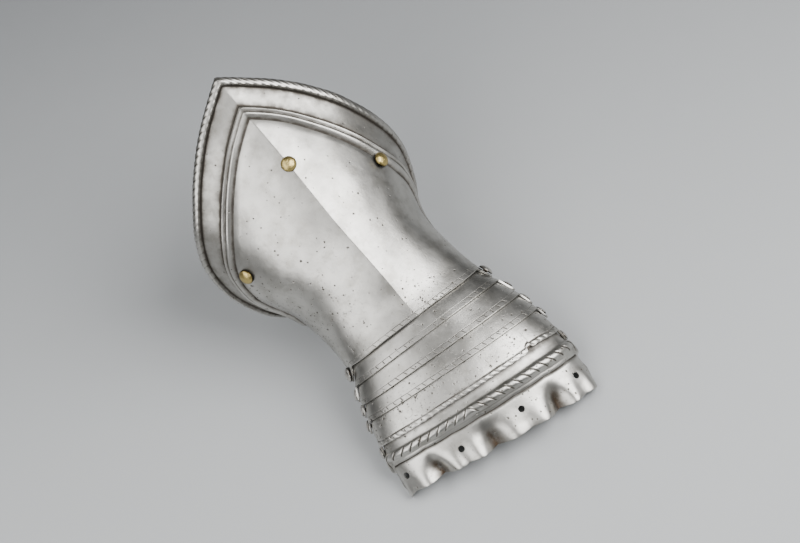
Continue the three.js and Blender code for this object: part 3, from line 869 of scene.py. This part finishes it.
# the profile's darkening holds painted shadow under the last lame's edge; the ridge cuts and the
# valleys hold dirt
darkening = knuckle_darkening(nominal) + RIDGE_SOIL * cut * on_ridge + CREASE_SOIL * valley
shape_vertices(piece, raised(at, angle, height))
turn_outward(piece, outward(at, angle))
note(piece, "engraving", np.stack([stroke, np.full_like(at, NO_STROKES), 0 * at], axis=-1))
pitted = 0.3 + 0.7 * smooth(0, -60, knuckle_round) * smooth(-60, -50, nominal)
note(piece, "wear_and_shade", np.stack([darkening, pitted, valley], axis=-1))
to_sheet(piece, LAME_SHEET)
knuckle = piece
print(knuckle.name + ":", len(knuckle.data.polygons), "faces")

# %% Holes of the lining
# A hole at every finger once held the stitches of the glove. Each is cut by a round bar.
HOLE_DIAMETER = 3.6
BAR_LENGTH = 16


def pierce(piece, foot, out, diameter):
    """Cut a round hole through a plate, straight along out."""
    clear_selection()
    bpy.ops.mesh.primitive_cylinder_add(
        vertices=40, radius=diameter / 2 * MM, depth=BAR_LENGTH * MM
    )
    bar = finished_primitive("bar")
    bar.matrix_world = stand_on(foot, out)
    apply_modifier(piece, "BOOLEAN", object=bar, operation="DIFFERENCE", solver="EXACT")
    bpy.data.objects.remove(bar)


def stand_on(foot, out):
    """Matrix that stands a shape drawn along +Z on a foot point, looking along out."""
    direction = Vector(turned @ out)
    spot = Matrix.Translation(Vector(placed(foot)))
    return spot @ direction.to_track_quat("Z", "Y").to_matrix().to_4x4()


for around_here, _, _, hole_at in FINGERS:
    if hole_at:
        hole_angle = float(np.interp(around_here, fine_rounds, fine_angles))
        foot, out = form(hole_at, hole_angle), outward(hole_at, hole_angle)
        pierce(knuckle, foot, out, HOLE_DIAMETER)
print("knuckle plate pierced:", len(knuckle.data.polygons), "faces")

# %% [markdown]
# ## The rivets
# A rivet is a round head outside, a shank through both sheets and a burr hammered flat
# inside. Half a sphere makes the head; its open rim is then extruded step by step, in to
# the shank, down through the sheets and out again to the burr, as the profile goes.
# One rivet of each size is modelled and copied, and each copy gets a mesh of its own.

# %% Rivet sizes and places
RIVET_SEAT = 0.55
BURR_DEPTH = 0.7
EXTRA_SHANK = 0.5
# head, shank, burr: radius; height: of the dome
WRIST_RIVET = {"head": 4.0, "height": 2.2, "shank": 1.3, "burr": 2.3}
LAME_RIVET = {"head": 3.2, "height": 1.1, "shank": 1.2, "burr": 2.1}
BRASS_RIVET = {"head": 4.3, "height": 2.6, "shank": 1.5, "burr": 2.8}
# at, angle: place; lift: of the foot over the form; below: extra length inside
BRASS_RIVETS = [
    ["ridge", 115.2, 0.0, 0.0, 2.2],
    ["thumb_side", 91.8, 45.9, 1.0, 1.9],
    ["little_finger_side", 90.4, -55.0, 0.1, 1.0],
]


def extrude_rim(scale=1.0, down=0.0):
    """Extrude the selected rim, drawing it in or out, or down, in millimetres."""
    bpy.ops.mesh.extrude_region_move(TRANSFORM_OT_translate={"value": (0, 0, -down * MM)})
    if scale != 1.0:
        bpy.ops.transform.resize(value=(scale, scale, 1), center_override=(0, 0, 0))


def model_rivet(name, size, stack):
    """A rivet standing on the origin with its head up."""
    clear_selection()
    bpy.ops.mesh.primitive_uv_sphere_add(segments=36, ring_count=24, radius=size["head"] * MM)
    rivet = finished_primitive(name)
    bpy.ops.object.mode_set(mode="EDIT")
    bpy.ops.mesh.select_all(action="SELECT")
    bpy.ops.mesh.bisect(plane_co=(0, 0, 0), plane_no=(0, 0, 1), clear_inner=True)
    bpy.ops.mesh.select_all(action="SELECT")
    bpy.ops.transform.resize(
        value=(1, 1, size["height"] / size["head"]), center_override=(0, 0, 0)
    )
    bpy.ops.mesh.select_all(action="DESELECT")
    bpy.ops.mesh.select_mode(type="EDGE")
    bpy.ops.mesh.select_non_manifold()
    extrude_rim(scale=0.97, down=0.18)
    extrude_rim(scale=size["shank"] / (size["head"] * 0.97))
    extrude_rim(down=stack + 2 * RIVET_SEAT - 0.18)
    extrude_rim(scale=size["burr"] / size["shank"])
    extrude_rim(scale=0.7, down=BURR_DEPTH)
    bpy.ops.mesh.edge_face_add()
    bpy.ops.mesh.select_all(action="SELECT")
    bpy.ops.mesh.normals_make_consistent(inside=False)
    bpy.ops.transform.translate(value=(0, 0, RIVET_SEAT * MM))
    bpy.ops.object.mode_set(mode="OBJECT")
    return rivet


def set_rivet(master, name, foot, out):
    """A copy of a rivet, with its own mesh, set in its place."""
    rivet = master.copy()
    rivet.data = master.data.copy()
    rivet.name = rivet.data.name = name
    bpy.context.scene.collection.objects.link(rivet)
    rivet.data.transform(stand_on(foot, out))
    rivet.matrix_world = Matrix.Identity(4)
    return rivet


side_rivets = []
for k in range(len(plate)):
    size = WRIST_RIVET if k == 0 else LAME_RIVET
    pivot, pivot_angle = plate[k]["pivot"], plate[k]["round"]
    _, edge, over = plate_run(k, pivot_angle)
    below = float(plate_height(k, pivot, edge, over))
    stack = float(parent_height(k, pivot, pivot_angle)) - below + LAME_SHEET + EXTRA_SHANK
    master = model_rivet("master", size, stack)
    for side, word in ((1, "thumb_side"), (-1, "little_finger_side")):
        node = ("rivet_wrist_" if k == 0 else "rivet_" + plate[k]["name"] + "_") + word
        foot, out = rivet_foot(k, side)
        foot = foot + out * hammered(foot)
        side_rivets.append((set_rivet(master, node + "_head", foot, out), node, k))
    bpy.data.objects.remove(master)
print(len(side_rivets), "steel rivets")

# %% Brass rivets
brass_rivets = []
for word, at, angle, lift, below in BRASS_RIVETS:
    out = unit(outward(at, angle + 2) + outward(at, angle - 2))
    foot = on_form(at, angle, lift)
    foot = foot + out * hammered(foot)
    master = model_rivet("master", BRASS_RIVET, CUFF_SHEET + below)
    node = "brass_rivet_" + word
    brass_rivets.append((set_rivet(master, node + "_head", foot, out), node))
    bpy.data.objects.remove(master)
print(len(brass_rivets), "brass rivets")

# %% [markdown]
# ## Finishes
# The plates are old polished steel: bright where it is rubbed, brown-black where it cannot
# be reached. A scanned texture would stretch over these curves, so every finish is built of
# nodes, with each pattern's scale taken from its real size in millimetres.

# %% Colour and node helpers


def srgb(code):
    """An sRGB hex colour as linear red, green, blue and alpha."""
    parts = [int(code[i : i + 2], 16) / 255 for i in (1, 3, 5)]
    return tuple(c / 12.92 if c <= 0.04045 else ((c + 0.055) / 1.055) ** 2.4 for c in parts) + (1,)


def per_metre(size_mm):
    """Noise scale for features of a real size."""
    return 1 / (size_mm * MM)


def add(tree, kind, inputs, output=0, **settings):
    """Add a node, set or link its inputs, and hand back one of its outputs."""
    node = tree.nodes.new("ShaderNode" + kind)
    for key, value in settings.items():
        setattr(node, key, value)
    rows = inputs.items() if isinstance(inputs, dict) else enumerate(inputs)
    for key, value in rows:
        if isinstance(value, bpy.types.NodeSocket):
            tree.links.new(value, node.inputs[key])
        else:
            node.inputs[key].default_value = value
    return node.outputs[output]


def new_material(name):
    """A named material, its node tree and its surface node."""
    material = bpy.data.materials.new(name)
    material.use_nodes = True
    tree = material.node_tree
    return material, tree, tree.nodes["Principled BSDF"]


COLOUR_MIX = {"data_type": "RGBA"}
FIRST, SECOND, MIXED = 6, 7, 2
SOFT = {"interpolation_type": "SMOOTHSTEP"}
TIMES = {"operation": "MULTIPLY"}
PLUS = {"operation": "ADD"}
TIMES_PLUS = {"operation": "MULTIPLY_ADD"}
MORE_OF = {"operation": "MAXIMUM"}
print("helpers: srgb, per_metre, add, new_material")

# %% [markdown]
# ## Old polished steel
# Steel reflects a neutral light grey. Centuries of rubbing leave it satin, not mirror:
# roughness near a third, lower on the high spots. Rust pits are a millimetre or less
# across and come in swarms; the hollows keep a brown-black soil that no rag reaches.
# The vertex notes say where the hollows are, where painted shade falls under plate edges and
# where the engraved bands run, and the nodes turn them into strokes, dirt with painted shade, and
# stain.

# %% Steel: what the notes say, and the noises
STROKE_PITCH = 4.6
STROKE_WIDTH = 0.42
LINE_AT = 2.75
LINE_WIDTH = 0.24

steel, tree, shader = new_material("old polished steel with brown patina")
place = add(tree, "TexCoord", [], "Object")
wear_and_shade = add(tree, "Attribute", [], "Vector", attribute_name="wear_and_shade")
darkening_note = add(tree, "SeparateXYZ", [wear_and_shade], 0)
pitted_note = add(tree, "SeparateXYZ", [wear_and_shade], 1)
stain_note = add(tree, "SeparateXYZ", [wear_and_shade], 2)
engraving = add(tree, "Attribute", [], "Vector", attribute_name="engraving")
along_note = add(tree, "SeparateXYZ", [engraving], 0)
across_note = add(tree, "SeparateXYZ", [engraving], 1)
depth_note = add(tree, "SeparateXYZ", [engraving], 2)

# size: of the features in millimetres; detail: octaves; roughness: how strong the fine ones are
NOISES = {
    "clouds": [26, 3, 0.55],
    "mottle": [5, 4, 0.6],
    "blotch": [9, 5, 0.62],
    "grit": [0.9, 2, 0.55],
    "speck": [1.25, 2, 0.7],
    "wander": [7, 1, 0.5],
    "faint": [11, 1, 0.5],
}
noise = {
    name: add(
        tree,
        "TexNoise",
        {"Vector": place, "Scale": per_metre(size), "Detail": detail, "Roughness": rough},
    )
    for name, (size, detail, rough) in NOISES.items()
}
print("steel noises:", len(noise))

# %% Steel: the engraved strokes and the line beside them
phase = add(tree, "Math", [noise["wander"], 3.4, along_note], **TIMES_PLUS)
phase = add(tree, "Math", [phase, STROKE_PITCH], operation="DIVIDE")
phase = add(tree, "Math", [phase], operation="FRACT")
off_stroke = add(tree, "Math", [phase, 0.5], operation="SUBTRACT")
off_stroke = add(tree, "Math", [off_stroke], operation="ABSOLUTE")
stroke = add(tree, "MapRange", [off_stroke, 0, STROKE_WIDTH / STROKE_PITCH, 1, 0], **SOFT)
after_start = add(tree, "MapRange", [across_note, 0.2, 0.7, 0, 1], **SOFT)
before_end = add(tree, "MapRange", [across_note, 2.3, 2.8, 1, 0], **SOFT)
stroke = add(tree, "Math", [stroke, after_start], **TIMES)
stroke = add(tree, "Math", [stroke, before_end], **TIMES)
kept_strokes = add(tree, "MapRange", [noise["faint"], 0.3, 0.52, 0.1, 1], **SOFT)
stroke = add(tree, "Math", [stroke, kept_strokes], **TIMES)
off_line = add(tree, "Math", [across_note, LINE_AT], operation="SUBTRACT")
off_line = add(tree, "Math", [off_line], operation="ABSOLUTE")
line = add(tree, "MapRange", [off_line, 0, LINE_WIDTH, 1, 0], **SOFT)
kept_line = add(tree, "Math", [kept_strokes, 0.6, 0.3], **TIMES_PLUS)
line = add(tree, "Math", [line, kept_line], **TIMES)
engraved = add(tree, "Math", [stroke, line], **MORE_OF)
engraved = add(tree, "Math", [engraved, depth_note], **TIMES)
print("strokes every", STROKE_PITCH, "mm")

# %% Steel: rust pits
# size: of the cells; share: how many of the cells hold a pit; radius: of a pit, in cells
PITS = [
    [1.9, 0.75, 0.32],
    [4.6, 0.4, 0.15],
]
pitted = add(tree, "MapRange", [noise["blotch"], 0.32, 0.6, 0.2, 1], **SOFT)
pitted = add(tree, "Math", [pitted, pitted_note], **TIMES)
pit = add(tree, "MapRange", [noise["speck"], 0.61, 0.7, 0, 1], **SOFT)
pit = add(tree, "Math", [pit, pitted], **TIMES)
for size, share, radius in PITS:
    cell = {"Vector": place, "Scale": per_metre(size), "Randomness": 1.0}
    chance = add(tree, "TexVoronoi", cell, "Color")
    drawn = add(tree, "SeparateColor", [chance], 0)
    width = add(tree, "SeparateColor", [chance], 1)
    allowed = add(tree, "Math", [pitted, share, 0.015], **TIMES_PLUS)
    kept = add(tree, "Math", [drawn, allowed], operation="LESS_THAN")
    width = add(tree, "Math", [width, radius, 0.1], **TIMES_PLUS)
    off_centre = add(tree, "TexVoronoi", cell, "Distance")
    ragged = add(tree, "Math", [noise["grit"], 0.3, -0.15], **TIMES_PLUS)
    off_centre = add(tree, "Math", [off_centre, ragged], **PLUS)
    off_centre = add(tree, "Math", [off_centre, width], operation="DIVIDE")
    spot = add(tree, "MapRange", [off_centre, 0.4, 1, 1, 0], **SOFT)
    spot = add(tree, "Math", [spot, kept], **TIMES)
    pit = add(tree, "Math", [pit, spot], **MORE_OF)
print("pits from", len(PITS), "cell patterns and one of specks")

# %% Steel: dirt and painted shade, colour and sheen
# darkening: dirt in the hollows, with painted shade under the plate edges, at the root of the rope
# and on the sunken band
darkening = add(tree, "Math", [noise["mottle"], 1.1, 0.4], **TIMES_PLUS)
darkening = add(tree, "Math", [darkening, darkening_note], **TIMES)
darkening = add(tree, "MapRange", [darkening, 0.08, 0.95, 0, 0.92], **SOFT)
dark = add(tree, "Math", [engraved, 0.95], **TIMES)
pit_dark = add(tree, "Math", [pit, 0.85], **TIMES)
dark = add(tree, "Math", [dark, pit_dark], **MORE_OF)
dark = add(tree, "Math", [dark, darkening], **MORE_OF)
film = add(tree, "MapRange", [noise["blotch"], 0.42, 0.72, 0, 0.75], **SOFT)
veil = add(tree, "MapRange", [noise["clouds"], 0.4, 0.7, 0, 0.55], **SOFT)
STEEL_BRIGHT, STEEL_DULL, STEEL_VEIL = "#B9B7B2", "#98958E", "#8D8B86"
# one dark colour for dirt, engraving, pits and painted shade
STEEL_DARK, STEEL_STAIN = "#3A342D", "#46382A"
metal = {0: film, FIRST: srgb(STEEL_BRIGHT), SECOND: srgb(STEEL_DULL)}
colour = add(tree, "Mix", metal, MIXED, **COLOUR_MIX)
colour = add(tree, "Mix", {0: veil, FIRST: colour, SECOND: srgb(STEEL_VEIL)}, MIXED, **COLOUR_MIX)
colour = add(tree, "Mix", {0: dark, FIRST: colour, SECOND: srgb(STEEL_DARK)}, MIXED, **COLOUR_MIX)
stain = add(tree, "MapRange", [noise["mottle"], 0.2, 0.6, 0, 0.9], **SOFT)
stain = add(tree, "Math", [stain, stain_note], **TIMES)
colour = add(tree, "Mix", {0: stain, FIRST: colour, SECOND: srgb(STEEL_STAIN)}, MIXED, **COLOUR_MIX)
sheen = add(tree, "Math", [noise["mottle"], 0.16, 0.27], **TIMES_PLUS)
sheen = add(tree, "Math", [dark, 0.3, sheen], **TIMES_PLUS)

# %% Steel: polishing marks, dimples and cuts
# polishing marks run across the plates, a third of a millimetre apart
MARK_PITCH, MARK_DEPTH = 0.35, 0.014
DIMPLE_DEPTH, CUT_DEPTH = 0.1, 0.1
across = add(tree, "Mapping", {"Vector": place, "Rotation": (0, 0, 0.5), "Scale": (1, 0.06, 1)})
marks = add(tree, "TexNoise", {"Vector": across, "Scale": per_metre(MARK_PITCH), "Detail": 2.0})
bump = add(tree, "Bump", {"Height": marks, "Distance": MARK_DEPTH * MM, "Strength": 1.0})
bump = add(
    tree,
    "Bump",
    {"Height": noise["mottle"], "Distance": DIMPLE_DEPTH * MM, "Strength": 1.0, "Normal": bump},
)
cut_depth = add(tree, "Math", [engraved, pit], **MORE_OF)
bump = add(
    tree,
    "Bump",
    {"Height": cut_depth, "Distance": CUT_DEPTH * MM, "Strength": 1.0, "Normal": bump},
    invert=True,
)
tree.links.new(colour, shader.inputs["Base Color"])
tree.links.new(sheen, shader.inputs["Roughness"])
tree.links.new(bump, shader.inputs["Normal"])
shader.inputs["Metallic"].default_value = 1.0

for piece in [cuff, *lames, knuckle]:
    piece.data.materials.clear()
    piece.data.materials.append(steel)
print("steel on", 1 + len(lames) + 1, "plates")

# %% [markdown]
# ## Rivets of steel and of brass
# The steel heads are filed bright like the plates. Old yellow brass is golden where it is
# rubbed and turns olive and brown toward its edge, where polish and dirt collect.

# %% Steel and brass of the rivets


def rivet_finish(name, light, deep, roughness):
    """Metal worn bright on the dome and dark toward its edge."""
    material, tree, surface = new_material(name)
    place = add(tree, "TexCoord", [], "Object")
    tarnish = add(tree, "TexNoise", {"Vector": place, "Scale": per_metre(2.2), "Detail": 4.0})
    scratch = add(tree, "TexNoise", {"Vector": place, "Scale": per_metre(0.5), "Detail": 2.0})
    edge = add(tree, "Attribute", [], "Fac", attribute_name="rim")
    share = add(tree, "Math", [tarnish, 1.3, -0.6], **TIMES_PLUS)
    share = add(tree, "Math", [share, edge], **PLUS)
    share = add(tree, "MapRange", [share, 0.15, 0.95, 0, 1], **SOFT)
    metal = {0: share, FIRST: srgb(light), SECOND: srgb(deep)}
    colour = add(tree, "Mix", metal, MIXED, **COLOUR_MIX)
    sheen = add(tree, "Math", [tarnish, 0.25, roughness], **TIMES_PLUS)
    bump = add(tree, "Bump", {"Height": scratch, "Distance": 0.06 * MM})
    bump = add(tree, "Bump", {"Height": tarnish, "Distance": 0.4 * MM, "Normal": bump})
    tree.links.new(colour, surface.inputs["Base Color"])
    tree.links.new(sheen, surface.inputs["Roughness"])
    tree.links.new(bump, surface.inputs["Normal"])
    surface.inputs["Metallic"].default_value = 1.0
    return material


rivet_steel = rivet_finish("filed steel rivet", "#B3B0AA", "#35302A", 0.2)
rivet_brass = rivet_finish("old yellow brass", "#B3A068", "#3A3018", 0.22)


def note_rim(rivet, foot, out, size):
    """Dirt round the foot of the head: 0 on the dome, 1 at its edge and below."""
    co = np.array([v.co for v in rivet.data.vertices])
    axis = turned @ out
    rise = (co - placed(foot)) @ axis / MM - RIVET_SEAT
    layer = rivet.data.attributes.new("rim", "FLOAT", "POINT")
    low = 1 - smooth(0.0, size["height"] * 0.5, rise)
    layer.data.foreach_set("value", low.astype(np.float32))


for rivet, node, k in side_rivets:
    foot, out = rivet_foot(k, 1 if node.endswith("thumb_side") else -1)
    note_rim(rivet, foot, out, WRIST_RIVET if k == 0 else LAME_RIVET)
    rivet.data.materials.append(rivet_steel)
for (rivet, node), (_, at, angle, lift, _) in zip(brass_rivets, BRASS_RIVETS):
    note_rim(rivet, on_form(at, angle, lift), outward(at, angle), BRASS_RIVET)
    rivet.data.materials.append(rivet_brass)
print("rivets finished:", len(side_rivets) + len(brass_rivets))

# %% [markdown]
# ## Smooth shading with crisp edges
# Polished plate is smooth except at its cut edges, so shading is smooth up to an angle.

# %% Shade the pieces
CRISP_ANGLE = 38


def shade(piece):
    choose(piece)
    bpy.ops.object.shade_smooth_by_angle(angle=CRISP_ANGLE * RAD)


rivets = [r[0] for r in side_rivets] + [r[0] for r in brass_rivets]
for piece in [cuff, *lames, knuckle, *rivets]:
    shade(piece)
print("shaded", 6 + len(rivets), "pieces")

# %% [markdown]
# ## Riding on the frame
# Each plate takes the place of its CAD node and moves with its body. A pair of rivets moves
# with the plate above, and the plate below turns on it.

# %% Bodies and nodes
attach(cuff, "cuff")
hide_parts("cuff")
for piece, row in zip([*lames, knuckle], plate):
    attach(piece, row["name"])
    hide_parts(row["name"])
for rivet, node, k in side_rivets:
    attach(rivet, "cuff" if k == 0 else plate[k - 1]["name"])
    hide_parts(node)
for rivet, node in brass_rivets:
    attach(rivet, "cuff")
    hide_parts(node)
print("all", 6 + len(rivets), "pieces ride on the frame")

# %% [markdown]
# ## The floor and the light
# Metal shows what it reflects, so the light is as much a part of the finish as the nodes:
# a wide soft panel to the thumb side makes the bright facets, a weaker one fills the other
# side, one behind the cuff draws its far edge, and the pale floor, painted darker toward the far
# side as painted shade, does the rest.

# %% Floor
FLOOR_SIZE = 6.0
clear_selection()
bpy.ops.mesh.primitive_plane_add(size=FLOOR_SIZE)
floor = finished_primitive("floor")
floor_paint, tree, shader = new_material("pale grey paper with painted falloff shade")
# painted shade: the paper's colour darkens from the fingers' side to the far side, standing in for
# the fall of the light, over a length in metres
FALLOFF_TURN, FALLOFF_LIGHT_AT, FALLOFF_DARK_AT = -60.0, -0.2, 0.5
place = add(tree, "TexCoord", [], "Object")
fibre = add(tree, "TexNoise", {"Vector": place, "Scale": 60.0})
along = add(tree, "Mapping", {"Vector": place, "Rotation": (0, 0, FALLOFF_TURN * RAD)})
along = add(tree, "SeparateXYZ", [along], 0)
tone = add(tree, "MapRange", [along, FALLOFF_LIGHT_AT, FALLOFF_DARK_AT, 0, 1], **SOFT)
tone = add(tree, "Math", [fibre, 0.03, tone], **TIMES_PLUS)
paper = {0: tone, FIRST: srgb("#ABADAE"), SECOND: srgb("#6F7173")}
tree.links.new(add(tree, "Mix", paper, MIXED, **COLOUR_MIX), shader.inputs["Base Color"])
shader.inputs["Roughness"].default_value = 0.9
floor.data.materials.append(floor_paint)

# %% Lights
# azimuth, elevation: where the panel stands, seen from the gauntlet
# distance, size: in metres; power: in watts
PANELS = [
    ["key_panel", 54.0, 48.0, 1.0, 0.78, 20.0],
    ["fill_panel", -62.0, 40.0, 1.0, 0.75, 8.0],
    ["back_panel", -118.0, 60.0, 1.1, 0.8, 6.5],
]
centre = (Vector(cad_box[0]) + Vector(cad_box[1])) / 2


def toward(azimuth, elevation):
    """Unit vector from the gauntlet; azimuth 0 is the fingers' side, 90 the thumb side."""
    a, e = azimuth * RAD, elevation * RAD
    return Vector((math.sin(a) * math.cos(e), -math.cos(a) * math.cos(e), math.sin(e)))


for name, azimuth, elevation, distance, size, power in PANELS:
    clear_selection()
    away = toward(azimuth, elevation)
    bpy.ops.object.light_add(type="AREA", location=centre + away * distance)
    panel = bpy.context.object
    panel.name = name
    panel.rotation_euler = away.to_track_quat("Z", "Y").to_euler()
    panel.data.size = size
    panel.data.energy = power
world = bpy.data.worlds.new("soft room")
bpy.context.scene.world = world
world.use_nodes = True
world.node_tree.nodes["Background"].inputs["Color"].default_value = srgb("#C9CCCE")
world.node_tree.nodes["Background"].inputs["Strength"].default_value = 0.2
print(len(PANELS), "panels")

# %% [markdown]
# ## The camera
# A long lens from above the fingers flattens the perspective, as for a catalogue. The
# gauntlet stays level on the floor, and the camera is rolled to see it lying aslant.

# %% Camera
LENS = 99.0
SENSOR = 36.0
VIEW_AZIMUTH = -10.4
VIEW_ELEVATION = 55.05
VIEW_ROLL = -29.75
VIEW_DISTANCE = 1.1738
AIM = (0, 40, 20)
SHIFT_X = 0.0469
SHIFT_Y = -0.0096

away = toward(VIEW_AZIMUTH, VIEW_ELEVATION)
right = Vector((math.cos(VIEW_AZIMUTH * RAD), math.sin(VIEW_AZIMUTH * RAD), 0))
up = away.cross(right)
roll = VIEW_ROLL * RAD
level, upright = right, up
right = level * math.cos(roll) + upright * math.sin(roll)
up = upright * math.cos(roll) - level * math.sin(roll)
spot = Matrix.Translation(Vector(placed(AIM)) + away * VIEW_DISTANCE)
clear_selection()
bpy.ops.object.camera_add()
camera = bpy.context.object
camera.matrix_world = spot @ Matrix((right, up, away)).transposed().to_4x4()
camera.data.lens = LENS
camera.data.sensor_width = SENSOR
camera.data.shift_x = SHIFT_X
camera.data.shift_y = SHIFT_Y
camera.data.clip_end = 20
bpy.context.scene.camera = camera
print("camera at", [round(v, 3) for v in camera.location])
